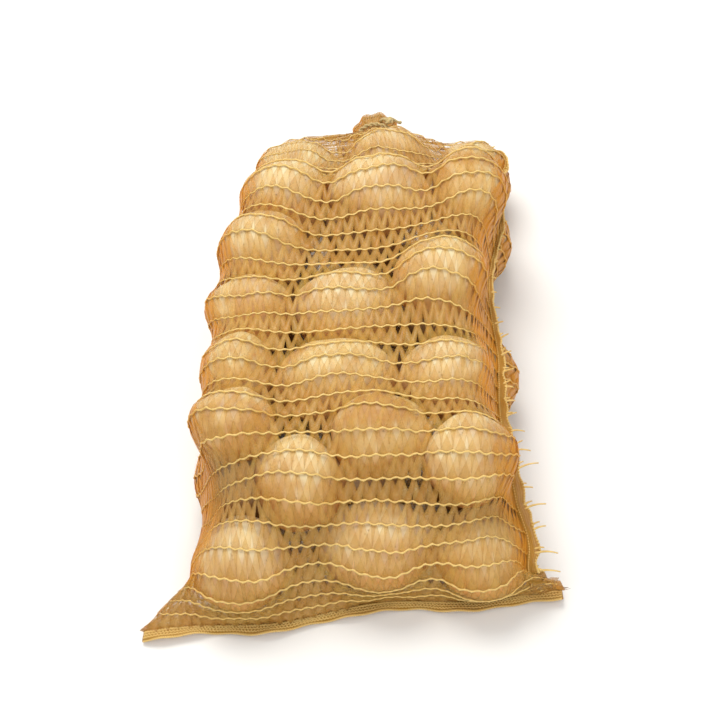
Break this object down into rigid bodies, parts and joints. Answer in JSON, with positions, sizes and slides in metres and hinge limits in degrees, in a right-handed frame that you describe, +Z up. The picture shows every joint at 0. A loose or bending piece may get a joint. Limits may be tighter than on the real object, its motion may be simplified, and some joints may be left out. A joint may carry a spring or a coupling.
{
  "type": "net potato sack filled with potatoes",
  "caption": "Knitted net sack lying on its back, filled with potatoes, with a flat stitched hem at the foot, a side seam and a drawn and tied neck.",
  "frame": {"origin": "middle of the bounding box, on the surface that the sack lies on", "axes": "+Z up, +Y from the hemmed foot to the tied neck, +X to the sack's right as seen from its foot"},
  "size_m": [0.2876, 0.4918, 0.1299],
  "materials": {
    "net": "knitted yellow net tape",
    "hem": "folded and stitched yellow net",
    "cord": "twisted string",
    "potato": "dry golden potato skin"
  },
  "bodies": {
    "root": {"net_wall": "net", "foot_hem": "hem", "side_seam": "hem", "drawstring": "cord", "drawstring_knot": "cord", "potato_foot_left": "potato", "potato_foot_middle": "potato", "potato_foot_right": "potato", "potato_low_1": "potato", "potato_low_2": "potato", "potato_low_3": "potato", "potato_low_4": "potato", "potato_low_5": "potato", "potato_low_6": "potato", "potato_low_7": "potato", "potato_low_8": "potato", "potato_low_9": "potato", "potato_low_10": "potato", "potato_low_11": "potato", "potato_low_12": "potato", "potato_top_1": "potato", "potato_top_2": "potato", "potato_top_3": "potato", "potato_top_4": "potato", "potato_top_5": "potato", "potato_top_6": "potato", "potato_top_7": "potato", "potato_top_8": "potato", "potato_top_9": "potato", "potato_top_10": "potato", "potato_top_11": "potato", "potato_top_12": "potato", "potato_top_13": "potato", "potato_top_14": "potato", "potato_end_1": "potato", "potato_end_2": "potato", "potato_end_3": "potato"}
  },
  "joints": []
}
